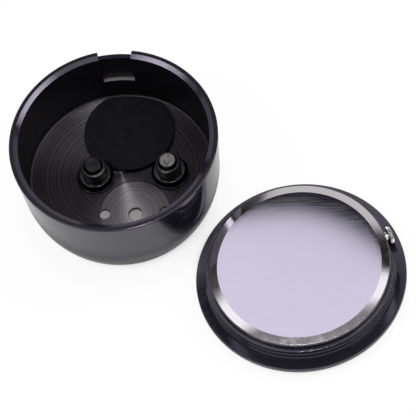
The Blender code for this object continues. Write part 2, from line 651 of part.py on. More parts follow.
def build_crown(crown_frame):
    """Crown, stem, stem tube, and the fork that the stem's groove carries along."""
    builder = bmesh.new()
    knurled_rings(builder)
    lay_along_x(builder)
    crown = add_object("crown", builder, crown_frame, "nickel")
    bore_end = CROWN_INNER_X + CROWN_BORE_DEPTH
    builder = bmesh.new()
    bore = rod_profile(STEM_RADIUS + SEAT_GAP, CROWN_INNER_X - CROWN_LENGTH, bore_end)
    spin_profile(builder, bore, SMALL_SIDES)
    lay_along_x(builder)
    combine(crown, add_object("crown_bore_cutter", builder, crown_frame))

    groove_end = STEM_GROOVE_X + STEM_GROOVE_LENGTH
    stem_profile = [
        (0.0, STEM_INNER_X),
        (STEM_RADIUS, STEM_INNER_X),
        (STEM_RADIUS, STEM_GROOVE_X),
        (STEM_GROOVE_RADIUS, STEM_GROOVE_X),
        (STEM_GROOVE_RADIUS, groove_end),
        (STEM_RADIUS, groove_end),
        (STEM_RADIUS, bore_end - SEAT_GAP),
        (0.0, bore_end - SEAT_GAP),
    ]
    builder = bmesh.new()
    spin_profile(builder, stem_profile, SMALL_SIDES)
    lay_along_x(builder)
    add_object("winding_stem", builder, crown_frame, "nickel")

    builder = bmesh.new()
    tube = tube_profile(TUBE_BORE_RADIUS, TUBE_RADIUS, INNER_RADIUS, CROWN_INNER_X - SEAT_GAP)
    spin_profile(builder, tube, SMALL_SIDES)
    lay_along_x(builder)
    add_object("stem_tube", builder, crown_frame, "nickel")

    slot = STEM_GROOVE_RADIUS + SEAT_GAP
    half = LEVER_WIDTH / 2
    fork_top = STEM_RADIUS
    outline = [
        (-half, -STEM_RADIUS),
        (-slot, -STEM_RADIUS),
        (-slot, slot),
        (slot, slot),
        (slot, -STEM_RADIUS),
        (half, -STEM_RADIUS),
        (half, fork_top + slot),
        (-half, fork_top + slot),
    ]
    fork_x = STEM_GROOVE_X + (STEM_GROOVE_LENGTH - LEVER_THICKNESS) / 2
    builder = bmesh.new()
    near = [builder.verts.new((fork_x, y, z)) for y, z in outline]
    far = [builder.verts.new((fork_x + LEVER_THICKNESS, y, z)) for y, z in outline]
    builder.faces.new(near)
    builder.faces.new(far)
    join_rings(builder, near, far)
    add_object("setting_lever", builder, crown_frame, "nickel")


def build_hand(name, bore, pipe_radius, pipe_top, outline, finish, parent):
    """A flat hand joined to its hub and pipe, which turn about the dial's centre."""
    low = HAND_Z[name]
    high = low + HAND_THICKNESS
    hub_radius = pipe_radius + HUB_MARGIN
    axis = add_frame(name + "_axis", (0.0, 0.0, 0.0), HAND_ANGLES[name], parent)
    hub = [(bore, low), (hub_radius, low), (hub_radius, high), (pipe_radius, high)]
    hub += [(pipe_radius, pipe_top), (bore, pipe_top)]
    hand = turned(name + "_hand", hub, SMALL_SIDES, axis, finish)
    builder = bmesh.new()
    inset = HAND_THICKNESS / 5
    add_prism(builder, outline, low + inset, high - inset)
    combine(hand, add_object(name + "_blade", builder, axis), "UNION")


def blade(root, length, root_width, waist_width):
    """Baton outline that swells towards its point."""
    neck = length - BLADE_POINT
    return [
        (root, -root_width / 2),
        (neck, -waist_width / 2),
        (length, 0.0),
        (neck, waist_width / 2),
        (root, root_width / 2),
    ]


def build_hands(parent):
    pipe_top = MOVEMENT_Z + DIAL_THICKNESS
    minute_pipe = MINUTE_PIPE_BORE + PIPE_WALL
    needle = rectangle(-SECOND_TAIL, SECOND_LENGTH, -SECOND_WIDTH / 2, SECOND_WIDTH / 2)
    build_hand("hour", HOUR_PIPE_BORE, HOUR_PIPE_RADIUS, pipe_top,
               blade(HOUR_PIPE_RADIUS, HOUR_LENGTH, *HOUR_WIDTHS), "hand_black", parent)
    build_hand("minute", MINUTE_PIPE_BORE, minute_pipe, pipe_top,
               blade(minute_pipe, MINUTE_LENGTH, *MINUTE_WIDTHS), "hand_black", parent)
    build_hand("second", 0.0, SECOND_PIN_RADIUS, pipe_top, needle, "nickel", parent)


def build_housing():
    frame = add_frame("housing_frame", (*CUP_PLACE, 0.0))
    build_cup(frame)
    build_pad(frame)
    for side in BOLT_PLACES:
        build_fastener(side, frame)


def build_insert():
    frame = add_frame("insert_frame", (*INSERT_PLACE, 0.0))
    crown_frame = add_frame("crown_frame", (0.0, 0.0, STEM_Z), CROWN_DIRECTION, frame)
    build_bezel(frame, crown_frame)
    build_glass(frame)
    build_dial(frame)
    build_movement(frame, crown_frame)
    build_back(frame)
    build_crown(crown_frame)
    build_hands(frame)


clear_scene()
build_housing()
build_insert()
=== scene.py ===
"""Looks of the taken-apart handlebar clock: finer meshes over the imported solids, finishes, light and camera.

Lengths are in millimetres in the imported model's frame and are scaled to metres as each mesh is made.
"""
import math

import bmesh
import bpy
from mathutils import Matrix, Vector


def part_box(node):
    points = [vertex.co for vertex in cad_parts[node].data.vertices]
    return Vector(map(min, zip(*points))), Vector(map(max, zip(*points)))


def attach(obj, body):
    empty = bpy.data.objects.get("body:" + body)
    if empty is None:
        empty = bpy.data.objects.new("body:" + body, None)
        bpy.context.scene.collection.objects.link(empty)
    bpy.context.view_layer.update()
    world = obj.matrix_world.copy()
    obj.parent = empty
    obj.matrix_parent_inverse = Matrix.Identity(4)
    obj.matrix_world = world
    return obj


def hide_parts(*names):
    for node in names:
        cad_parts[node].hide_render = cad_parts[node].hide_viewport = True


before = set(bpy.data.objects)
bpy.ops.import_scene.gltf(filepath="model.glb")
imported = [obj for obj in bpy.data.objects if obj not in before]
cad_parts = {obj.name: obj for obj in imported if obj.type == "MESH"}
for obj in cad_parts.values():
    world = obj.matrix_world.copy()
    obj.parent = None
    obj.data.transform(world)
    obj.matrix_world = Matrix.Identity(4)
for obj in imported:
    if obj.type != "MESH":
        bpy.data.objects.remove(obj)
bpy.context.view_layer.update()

MM = 0.001


def node_box(node):
    """Lowest and highest corner of a CAD node, in millimetres."""
    low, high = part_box(node)
    return low / MM, high / MM


def node_axis(node):
    """Where the vertical axis of a round CAD node stands."""
    low, high = node_box(node)
    radius = (high.x - low.x) / 2
    return Vector((low.x + radius, low.y + radius, 0.0))


def half_width(node):
    low, high = node_box(node)
    return (high.x - low.x) / 2


# Housing, as in the CAD apart from the countersinks and a bowl that is fuller near the foot
CUP_AXIS = node_axis("housing_cup")
RIM_RADIUS = half_width("housing_cup")
CUP_HEIGHT = node_box("housing_cup")[1].z
WALL_FOOT_RADIUS = 27.286
WALL_FOOT_HEIGHT = 12.0
BOWL_RADIUS = 26.5
FOOT_INNER_RADIUS = 19.6
UNDERSIDE_RADIUS = 22.4
SEAT_GAP = 0.25
BORE_RADIUS = 26.1
BORE_FLOOR_RADIUS = 25.6
RIM_FLAT_WIDTH = 1.2
RIM_CHAMFER_DROP = 0.6
FLOOR_Z = 9.2
FLOOR_UNDER_Z = 8.0
FLOOR_FILLET = 0.8
EDGE_BREAK = 0.3
NOTCH_ANGLE = 19.0
NOTCH_DEPTH = 1.9
NOTCH_Z = CUP_HEIGHT - NOTCH_DEPTH
NOTCH_EDGE = EDGE_BREAK / 3
RECESS_CUT = 1.1
LEDGE_DEPTH = 11.4
LEDGE_Z = CUP_HEIGHT - LEDGE_DEPTH
FLOOR_HOLES = ((-4.6, -12.1, 1.5), (3.9, -12.6, 1.85), (12.3, -12.6, 1.85))
COUNTERSINK = 0.15
SPOT_FACE_CENTRE = Vector((3.7, -11.9, 0.0))
SPOT_FACE_RADIUS = 9.5
SPOT_FACE_DEPTH = 0.2
PAD_FROM_AXIS = Vector((2.0, 13.2, 0.0))
PAD_RADIUS = 12.5
PAD_LIMIT = 24.55

# How far a cutting tool reaches past what it cuts, and the least vertical share of a level face's normal
CUT_OVERRUN = 1.0
LEVEL_SHARE = 0.5

# Fasteners, as in the CAD, with threads and knurls added
BOLT_RADIUS = 2.5
BOLT_HOLE_RADIUS = BOLT_RADIUS + SEAT_GAP
BOLT_HEAD_HEIGHT = 5.0
BOLT_CHAMFER = 0.4
SOCKET_ACROSS_FLATS = 4.0
SOCKET_DEPTH = 2.5
THREAD_PITCH = 0.8
THREAD_DEPTH = 0.28
THREAD_LENGTH = 2.4
KNURLS = 36
KNURL_DEPTH = 0.12
WASHER_EDGE = 0.9
WASHER_SLOPE = 0.8
NUT_CHAMFER = 0.3

# Clock insert, as in the CAD apart from the flange's dish, the disc's dome and deeper crown teeth
INSERT_AXIS = node_axis("bezel_ring")
FLANGE_RADIUS = half_width("bezel_ring")
FLANGE_EDGE_Z = 4.1
FLANGE_EDGE_HEIGHT = 0.5
FLANGE_TOP_Z = 4.3
FLANGE_DISH = 0.3
BEZEL_FACE_RADIUS = 23.8
PLUG_RADIUS = 25.9
PLUG_STEP = 0.2
PLUG_BANDS = 3
PLUG_TOP_Z = node_box("bezel_ring")[1].z
CASE_BORE_RADIUS = 23.2
CASE_BORE_FLOOR_Z = 3.5
LIP_RADIUS = 21.0
LIP_THICKNESS = 0.6
CRYSTAL_SEAT_RADIUS = 22.6
GASKET_SEAT_RADIUS = 24.1
GASKET_SEAT_DEPTH = 0.6
CROWN_FLAT = 24.2
CROWN_DIRECTION = 21.5
STEM_HOLE_RADIUS = 1.5
BACK_RADIUS = half_width("case_back")
BACK_DISC_RADIUS = 22.1
BACK_TOP_Z = node_box("case_back")[1].z
BACK_Z = 9.2
BACK_CEILING_Z = 10.2
BACK_LIP_Z = node_box("case_back")[0].z
BACK_LIP_OUTER = 22.95
BACK_LIP_INNER = 22.25
DISC_DOME = 0.14
DOME_POWER = 4
DISC_STEP_WIDTH = EDGE_BREAK / 4
DISC_STEP_DROP = EDGE_BREAK / 20
RING_DROP = 0.25
STEM_Z = 6.88
CROWN_RADIUS = 2.33
CROWN_INNER = 25.7
CROWN_OUTER = 26.8
CROWN_BORE_RADIUS = 1.0
CROWN_BORE_END = 26.3
CROWN_TEETH = 28
TOOTH_DEPTH = 0.35
STEM_RADIUS = 0.75
STEM_INNER = 6.0
STEM_OUTER = 26.05
STEM_GROOVE = (10.2, 11.4)
STEM_GROOVE_RADIUS = 0.3
TUBE_RADII = (1.0, 1.25)
TUBE_SPAN = (22.95, 25.45)
TUBE_ROUNDING = 0.08

# Crown's rounds, as shares of its length and radius. The teeth fade out where a round is small.
CROWN_FLUTED = ((0.0, 0.9), (0.06, 0.97), (0.16, 1.0), (0.76, 1.0), (0.88, 0.96), (0.94, 0.88))
CROWN_END = ((0.97, 0.7), (0.99, 0.4), (1.0, 0.1))
TOOTH_FADE = 12
TOOTH_LEAST = 0.1

# Camera, fitted to the two rims in the photo, with its angles in degrees
CAMERA_ELEVATION = 59.883
CAMERA_AZIMUTH = 10.08
CAMERA_ROLL = -11.762
CAMERA_TARGET = Vector((-0.97, 6.66, 4.1))
CAMERA_DISTANCE = 876.9
FOCAL_PIXELS = 3200.0
FRAME_PIXELS = 416.0
SENSOR_WIDTH = 36.0

# Light: the world's level on matt surfaces, and softboxes, each a name, a place and a size in metres, a power
# in watts and a turn in degrees
WORLD_LEVEL = 0.5
SOFTBOXES = (
    ("overhead_softbox", (-0.025, 0.125, 1.19), (0.12, 0.12), 4.6, 0.0),
    ("right_strip", (0.39, 0.06, 0.591), (0.46, 0.12), 1.15, -34.6),
    ("left_strip", (-0.381, -0.15, 0.606), (0.42, 0.12), 1.0, 32.3),
)

# Dark gaps of the studio, which only glossy rays see: a direction, as shares away from the camera and to its
# right, and stops of a ray's share along that direction with the grey level there
BACK_GAP = ((0.459, 1.0), (0.484, 0.02), (0.56, 0.02), (0.59, 0.55))
SIDE_GAP = ((0.395, 1.0), (0.425, 0.04), (0.52, 0.04), (0.56, 0.55))
TOP_GAP = ((0.22, 1.0), (0.25, 0.2), (0.318, 0.2), (0.345, 1.0))
GAPS = (((0.9, 0.436), BACK_GAP), ((0.6, -0.8), SIDE_GAP), ((1.0, 0.0), TOP_GAP))

# Floor: half its width in metres, its grey, how near in millimetres the object shades it, and the share of
# open sky where the camera sees no more shade. Its glow runs from full shade to none, first for the camera
# and then for glossy rays. A glow below zero counts as none.
FLOOR_HALF_WIDTH = 3.0
FLOOR_GREY = 0.9
CONTACT_REACH = 30.0
CONTACT_SHARE = 0.4
FLOOR_GLOW = (0.2, 0.92)
MIRRORED_GLOW = (-1.5, 0.95)

# Mesh fineness
SIDES = 192
SMALL_SIDES = 72
ARC_STEPS = 4
BOWL_STEPS = 24
BEZEL_STEPS = 20
DOME_STEPS = 16
STEPS_PER_THREAD = 8
SHARP_ANGLE = math.radians(24)
FACE_AREA_WEIGHT = 100
WELD = 0.002

# Lilac cast of the reflections in the black finishes
GLOSS_TINT = (0.84, 0.78, 1.0, 1.0)
RIM_TINT = (0.85, 0.8, 1.0, 1.0)

# Finish regions, in the order of a piece's material slots: housing, nuts and washers, bolts, bezel, back
OUTSIDE, BORE, FLOOR, RIM, EDGE, SPOT, MOUTH = range(7)
PLAIN, WEAR_AND_HIGHLIGHT = range(2)
SHANK, TIP = range(2)
SHELL, PLUG_END, FLANGE_TOP = range(3)
DISC, RING, BACK_EDGE = range(3)


def hexagon(across_flats):
    """Radius of a hexagon as a function of the angle."""
    def radius(angle):
        return across_flats / 2 / math.cos((angle % (math.pi / 3)) - math.pi / 6)
    return radius


def fluted(outer, depth, count):
    """Radius of a knurled round as a function of the angle."""
    def radius(angle):
        return outer - depth * (0.5 - 0.5 * math.cos(count * angle))
    return radius


def threaded(height, crest):
    """Radius of a screw thread at one height, as a function of the angle."""
    def radius(angle):
        turn = (height / THREAD_PITCH + angle / math.tau) % 1.0
        return min(crest, BOLT_RADIUS - THREAD_DEPTH * abs(2 * turn - 1))
    return radius


def round_corners(corners):
    """Points of an outline, with an arc at each corner that has a rounding.

    A corner is (radius, height, rounding, region). The region picks the finish of the stretch after it.
    """
    points = []
    for index, (radius, height, rounding, region) in enumerate(corners):
        here = Vector((radius, height))
        if not rounding:
            points.append((radius, height, region))
            continue
        before = (Vector(corners[index - 1][:2]) - here).normalized()
        after = (Vector(corners[(index + 1) % len(corners)][:2]) - here).normalized()
        half = before.angle(after) / 2
        centre = here + (before + after).normalized() * rounding / math.sin(half)
        spoke = here + before * rounding / math.tan(half) - centre
        turn = math.copysign(math.pi - 2 * half, -before.cross(after))
        for step in range(ARC_STEPS + 1):
            point = centre + Matrix.Rotation(turn * step / ARC_STEPS, 2) @ spoke
            points.append((point.x, point.y, region))
    return points


def arc(centre, radius, start, end, steps):
    """Points on a circle in the radius-height plane, angles in degrees."""
    points = []
    for step in range(steps + 1):
        angle = math.radians(start + (end - start) * step / steps)
        points.append((centre[0] + radius * math.cos(angle), centre[1] + radius * math.sin(angle)))
    return points


def ring(radius, height, sides=SIDES):
    """One round of points. The radius is a number or a function of the angle."""
    points = []
    for side in range(sides):
        angle = math.tau * side / sides
        reach = radius(angle) if callable(radius) else radius
        points.append((reach * math.cos(angle), reach * math.sin(angle), height))
    return points


def skin(builder, rings, regions, closed=False):
    """Join rings of points in order. An open row of rings is capped flat at both ends."""
    loops = [[builder.verts.new(point) for point in points] for points in rings]
    spans = list(zip(loops, loops[1:]))
    if closed:
        spans.append((loops[-1], loops[0]))
    else:
        builder.faces.new(loops[0]).material_index = regions[0]
        builder.faces.new(loops[-1]).material_index = regions[-1]
    for (first, second), region in zip(spans, regions):
        for side in range(len(first)):
            after = (side + 1) % len(first)
            face = builder.faces.new((first[side], first[after], second[after], second[side]))
            face.material_index = region


def spin(builder, corners, sides=SIDES, closed=False):
    """Turn an outline of corners about the vertical axis."""
    points = round_corners(corners)
    rings = [ring(radius, height, sides) for radius, height, _ in points]
    skin(builder, rings, [region for _, _, region in points], closed)


def add_mesh(name, builder, finishes, place):
    """Make an object in metres from a mesh built in millimetres about its own axis."""
    bmesh.ops.recalc_face_normals(builder, faces=builder.faces)
    bmesh.ops.transform(builder, matrix=Matrix.Scale(MM, 4) @ place, verts=builder.verts)
    mesh = bpy.data.meshes.new(name)
    builder.to_mesh(mesh)
    builder.free()
    for finish in finishes:
        mesh.materials.append(finish)
    obj = bpy.data.objects.new(name, mesh)
    bpy.context.collection.objects.link(obj)
    return obj


def smooth(obj):
    """Shade smooth between sharp edges, with the large faces kept flat."""
    obj.data.shade_smooth()
    obj.data.set_sharp_from_angle(angle=SHARP_ANGLE)
    weighted = obj.modifiers.new("weighted_normal", "WEIGHTED_NORMAL")
    weighted.weight = FACE_AREA_WEIGHT
    weighted.keep_sharp = True


def cut(obj, tools):
    """Take the tools' shapes out of a piece, keep the result as its mesh, and drop the tools."""
    for tool in tools:
        modifier = obj.modifiers.new(tool.name, "BOOLEAN")
        modifier.object = tool
        modifier.solver = "EXACT"
    shown = obj.evaluated_get(bpy.context.evaluated_depsgraph_get())
    result = bpy.data.meshes.new_from_object(shown)
    obj.modifiers.clear()
    old = obj.data
    obj.data = result
    result.name = obj.name
    bpy.data.meshes.remove(old)
    for tool in tools:
        bpy.data.meshes.remove(tool.data)


def dress(obj, body, slot, *nodes):
    """Let a finished piece ride on its body, in place of its CAD nodes."""
    smooth(obj)
    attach(obj, body)
    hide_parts(*nodes)
    return obj


def new_finish(name, colour, roughness, metallic=0.0):
    """New material with flat values, which its textures then vary."""
    material = bpy.data.materials.new(name)
    material.use_nodes = True
    shader = material.node_tree.nodes["Principled BSDF"]
    shader.inputs["Base Color"].default_value = (*colour, 1.0)
    shader.inputs["Roughness"].default_value = roughness
    shader.inputs["Metallic"].default_value = metallic
    return material, shader


def link(owner, output, target):
    owner.node_tree.links.new(output, target)


def add_node(owner, kind, **settings):
    """Add a shader node to a material or a world.

    A setting is a socket's value, a link from another socket, or a property.
    """
    node = owner.node_tree.nodes.new(kind)
    for key, value in settings.items():
        label = key.replace("_", " ").title()
        if label not in node.inputs:
            setattr(node, key, value)
        elif isinstance(value, bpy.types.NodeSocket):
            link(owner, value, node.inputs[label])
        else:
            node.inputs[label].default_value = value
    return node


def local_place(material, axis=Vector((0.0, 0.0, 0.0)), stretch=(1.0, 1.0, 1.0)):
    """Coordinates on the piece in millimetres, from a chosen axis."""
    place = add_node(material, "ShaderNodeTexCoord").outputs["Object"]
    scale = Vector(stretch) / MM
    shift = -axis * Vector(stretch)
    return add_node(material, "ShaderNodeMapping", vector=place, scale=scale, location=shift).outputs[0]


def grain(material, place, size, detail=4.0):
    """Noise with spots of a given size in millimetres."""
    noise = add_node(material, "ShaderNodeTexNoise", vector=place, scale=1 / size, detail=detail)
    return noise.outputs["Fac"]


def rings_about(material, axis, size, detail=3.0):
    """Noise that changes only with the distance from a vertical axis, as turning marks do."""
    place = local_place(material, axis, (1.0, 1.0, 0.0))
    distance = add_node(material, "ShaderNodeVectorMath", operation="LENGTH")
    link(material, place, distance.inputs[0])
    noise = add_node(material, "ShaderNodeTexNoise", noise_dimensions="1D", scale=1 / size, detail=detail)
    link(material, distance.outputs["Value"], noise.inputs["W"])
    return noise.outputs["Fac"]


def tint(material, value, shader, dark, light, low=0.35, high=0.65):
    """Let a texture move the base colour between two tones."""
    ramp = add_node(material, "ShaderNodeValToRGB", fac=value)
    ramp.color_ramp.elements[0].position = low
    ramp.color_ramp.elements[1].position = high
    ramp.color_ramp.elements[0].color = (*dark, 1.0)
    ramp.color_ramp.elements[1].color = (*light, 1.0)
    link(material, ramp.outputs["Color"], shader.inputs["Base Color"])


def polish(material, value, shader, smoothest, roughest, low=0.3, high=0.7):
    """Let a texture move the roughness between two values."""
    span = add_node(material, "ShaderNodeMapRange", value=value, from_min=low, from_max=high,
                    to_min=smoothest, to_max=roughest)
    link(material, span.outputs["Result"], shader.inputs["Roughness"])


def emboss(material, value, shader, depth, strength=1.0):
    """Let a texture raise the surface by a depth in millimetres."""
    bump = add_node(material, "ShaderNodeBump", height=value, strength=strength, distance=depth * MM)
    link(material, bump.outputs["Normal"], shader.inputs["Normal"])


def gloss_black():
    """Gloss black anodised outside, with a faint orange peel and handling haze."""
    material, shader = new_finish("gloss_black", (0.012, 0.012, 0.014), 0.1)
    shader.inputs["IOR"].default_value = 1.56
    shader.inputs["Specular Tint"].default_value = GLOSS_TINT
    place = local_place(material)
    tint(material, grain(material, place, 9.0), shader, (0.006, 0.0055, 0.009), (0.01, 0.009, 0.014))
    polish(material, grain(material, place, 4.0), shader, 0.06, 0.13)
    emboss(material, grain(material, place, 1.2, 2.0), shader, 0.0025)
    return material


def satin_black():
    """Black anodised inside wall, with fine turning marks."""
    material, shader = new_finish("satin_black", (0.004, 0.004, 0.005), 0.4)
    shader.inputs["Specular IOR Level"].default_value = 0.3
    place = local_place(material, stretch=(0.05, 0.05, 1.0))
    marks = grain(material, place, 0.25, 6.0)
    tint(material, marks, shader, (0.003, 0.003, 0.004), (0.006, 0.005, 0.007))
    polish(material, marks, shader, 0.3, 0.5)
    emboss(material, marks, shader, 0.004, 0.5)
    return material


def rim_black(name, axis, gloss, dark, light, roughness):
    """Satin black on the upward rim faces, with circular tool marks."""
    material, shader = new_finish(name, light, roughness)
    shader.inputs["Specular IOR Level"].default_value = gloss
    shader.inputs["Specular Tint"].default_value = RIM_TINT
    marks = rings_about(material, axis, 0.16)
    tint(material, marks, shader, dark, light)
    polish(material, grain(material, local_place(material), 1.5), shader, roughness * 0.8, roughness * 1.2)
    emboss(material, marks, shader, 0.003, 0.5)
    return material


def bare_edge_and_highlight():
    """Bare aluminium where an edge was cut after the black finish. In the notch's recess it also paints a
    highlight.
    """
    material, shader = new_finish("bare_edge_and_highlight", (0.62, 0.59, 0.61), 0.3, 1.0)
    place = local_place(material, stretch=(1.0, 1.0, 0.1))
    marks = grain(material, place, 0.35, 5.0)
    tint(material, marks, shader, (0.13, 0.12, 0.125), (0.26, 0.24, 0.25))
    polish(material, marks, shader, 0.5, 0.7)
    emboss(material, marks, shader, 0.003, 0.5)
    return material


def turned_metal(name, axis, dark, light, roughness):
    """Bare metal with turning marks about an axis, which stretch its highlights across the marks."""
    material, shader = new_finish(name, light, roughness, 1.0)
    marks = rings_about(material, axis, 0.3, 5.0)
    tint(material, marks, shader, dark, light)
    haze = grain(material, local_place(material), 6.0)
    polish(material, haze, shader, roughness * 0.85, roughness * 1.15)
    emboss(material, marks, shader, 0.004, 0.7)
    shader.inputs["Anisotropic"].default_value = 0.9
    shader.inputs["Anisotropic Rotation"].default_value = 0.25
    tangent = add_node(material, "ShaderNodeTangent", direction_type="RADIAL", axis="Z")
    link(material, tangent.outputs["Tangent"], shader.inputs["Tangent"])
    return material


def pad_rubber():
    """Matt black rubber sheet with a fine cloth-like grain."""
    material, shader = new_finish("pad_rubber", (0.003, 0.003, 0.004), 0.9)
    shader.inputs["Specular IOR Level"].default_value = 0.15
    place = local_place(material)
    tint(material, grain(material, place, 1.8), shader, (0.0012, 0.0011, 0.002), (0.0042, 0.004, 0.006))
    polish(material, grain(material, place, 0.6), shader, 0.8, 0.98)
    emboss(material, grain(material, place, 0.18, 3.0), shader, 0.02, 0.7)
    return material


def plated(name, dark, light, smoothest, roughest, size=0.8):
    """Plated or oxidised steel with faint blotches and handling marks."""
    material, shader = new_finish(name, light, roughest, 1.0)
    place = local_place(material)
    tint(material, grain(material, place, size * 3), shader, dark, light)
    polish(material, grain(material, place, size), shader, smoothest, roughest)
    emboss(material, grain(material, place, size / 4, 3.0), shader, 0.002, 0.4)
    return material


def brushed_disc():
    """Polished steel disc with fine straight brushing along the row frame's X axis. Its lilac tone is a
    painted reflection of lilac surroundings.
    """
    material, shader = new_finish("brushed_disc", (0.62, 0.585, 0.735), 0.1, 1.0)
    strokes = grain(material, local_place(material, stretch=(0.04, 1.0, 1.0)), 0.25, 8.0)
    # The lilac in both tones is a painted reflection.
    tint(material, strokes, shader, (0.60, 0.565, 0.715), (0.64, 0.605, 0.755))
    polish(material, strokes, shader, 0.05, 0.1)
    emboss(material, strokes, shader, 0.0003, 0.4)
    return material


def polished_ring():
    material, shader = new_finish("polished_ring", (0.84, 0.81, 0.85), 0.06, 1.0)
    marks = rings_about(material, INSERT_AXIS, 0.2)
    tint(material, marks, shader, (0.84, 0.81, 0.85), (0.95, 0.92, 0.96))
    polish(material, grain(material, local_place(material), 2.0), shader, 0.04, 0.09)
    emboss(material, marks, shader, 0.0008, 0.4)
    return material


def clear_glass():
    material, shader = new_finish("clear_glass", (0.96, 0.98, 0.98), 0.01)
    shader.inputs["Transmission Weight"].default_value = 1.0
    shader.inputs["IOR"].default_value = 1.5
    polish(material, grain(material, local_place(material), 3.0), shader, 0.0, 0.02)
    return material


def soft_finish(name, dark, light, roughness, size, depth, metallic=0.0):
    """Paint, plastic or rubber with a fine grain."""
    material, shader = new_finish(name, light, roughness, metallic)
    place = local_place(material)
    tint(material, grain(material, place, size * 4), shader, dark, light)
    polish(material, grain(material, place, size), shader, roughness * 0.85, min(1.0, roughness * 1.15))
    emboss(material, grain(material, place, size / 2, 3.0), shader, depth, 0.6)
    return material


FINISHES = {
    "gloss_black": gloss_black(),
    "satin_black": satin_black(),
    "mouth_edge": rim_black("mouth_edge", CUP_AXIS, 1.0, (0.004, 0.004, 0.006), (0.009, 0.008, 0.012), 0.12),
    "cup_rim": rim_black("cup_rim", CUP_AXIS, 0.28, (0.003, 0.003, 0.005), (0.014, 0.012, 0.017), 0.2),
    "plug_end": rim_black("plug_end", INSERT_AXIS, 0.9, (0.006, 0.006, 0.01), (0.016, 0.015, 0.022), 0.18),
    "flange_top": rim_black(
        "flange_top", INSERT_AXIS, 0.95, (0.005, 0.005, 0.009), (0.012, 0.011, 0.018), 0.15,
    ),
    "bare_edge_and_highlight": bare_edge_and_highlight(),
    "cup_floor": turned_metal("cup_floor", CUP_AXIS, (0.017, 0.015, 0.017), (0.075, 0.068, 0.075), 0.38),
    "spot_face": turned_metal(
        "spot_face", CUP_AXIS + SPOT_FACE_CENTRE, (0.048, 0.044, 0.048), (0.12, 0.112, 0.12), 0.4,
    ),
    "pad_rubber": pad_rubber(),
    "black_oxide": plated("black_oxide", (0.02, 0.02, 0.022), (0.045, 0.043, 0.045), 0.22, 0.38),
    "glossy_oxide": plated("glossy_oxide", (0.03, 0.03, 0.033), (0.06, 0.058, 0.062), 0.12, 0.24),
    # Lighter oxide: wear and a painted highlight on the nuts' chamfers and the washers' edges, and a painted
    # highlight on the right bolt's tip
    "wear_and_highlight_oxide": plated("wear_and_highlight_oxide", (0.1, 0.095, 0.1), (0.3, 0.28, 0.29), 0.2, 0.34, 0.5),
    "nickel": plated("nickel", (0.62, 0.6, 0.59), (0.74, 0.72, 0.7), 0.12, 0.24),
    # Nickel painted darker on the crown than on the stem: painted shade that tones down its highlights
    "shaded_crown_nickel": plated("shaded_crown_nickel", (0.42, 0.4, 0.4), (0.58, 0.56, 0.55), 0.14, 0.26),
    "back_edge": soft_finish("back_edge", (0.1, 0.095, 0.1), (0.18, 0.17, 0.18), 0.25, 2.0, 0.0002, 1.0),
    "brass": plated("brass", (0.66, 0.48, 0.2), (0.78, 0.6, 0.3), 0.22, 0.36),
    "brushed_disc": brushed_disc(),
    "polished_ring": polished_ring(),
    "clear_glass": clear_glass(),
    "gasket_rubber": soft_finish("gasket_rubber", (0.01, 0.01, 0.01), (0.02, 0.02, 0.02), 0.8, 0.4, 0.01),
    "hand_black": soft_finish("hand_black", (0.008, 0.008, 0.009), (0.014, 0.014, 0.015), 0.3, 0.3, 0.002),
    "dial_white": soft_finish("dial_white", (0.78, 0.78, 0.76), (0.84, 0.84, 0.82), 0.5, 0.4, 0.004),
    "holder_plastic": soft_finish("holder_plastic", (0.55, 0.55, 0.53), (0.63, 0.63, 0.61), 0.55, 0.5, 0.006),
}


def finishes(*names):
    return [FINISHES[name] for name in names]


def wall_radius(height):
    """Radius of the housing's outside on its tapered stretch."""
    rise = (height - WALL_FOOT_HEIGHT) / (CUP_HEIGHT - WALL_FOOT_HEIGHT)
    return WALL_FOOT_RADIUS + rise * (RIM_RADIUS - WALL_FOOT_RADIUS)


def bore_radius(height):
    low = FLOOR_Z + FLOOR_FILLET
    rise = (height - low) / (CUP_HEIGHT - RIM_CHAMFER_DROP - low)
    return BORE_FLOOR_RADIUS + rise * (BORE_RADIUS - BORE_FLOOR_RADIUS)


def bowl_corners():
    """Outside from the end of the tapered wall round to the foot."""
    taper = math.atan2(RIM_RADIUS - WALL_FOOT_RADIUS, CUP_HEIGHT - WALL_FOOT_HEIGHT)
    centre = (
        WALL_FOOT_RADIUS - BOWL_RADIUS * math.cos(taper),
        WALL_FOOT_HEIGHT + BOWL_RADIUS * math.sin(taper),
    )
    end = math.degrees(math.asin((centre[1] - EDGE_BREAK) / BOWL_RADIUS))
    points = arc(centre, BOWL_RADIUS, -math.degrees(taper), -end, BOWL_STEPS)
    return [(radius, height, 0.0, OUTSIDE) for radius, height in points]


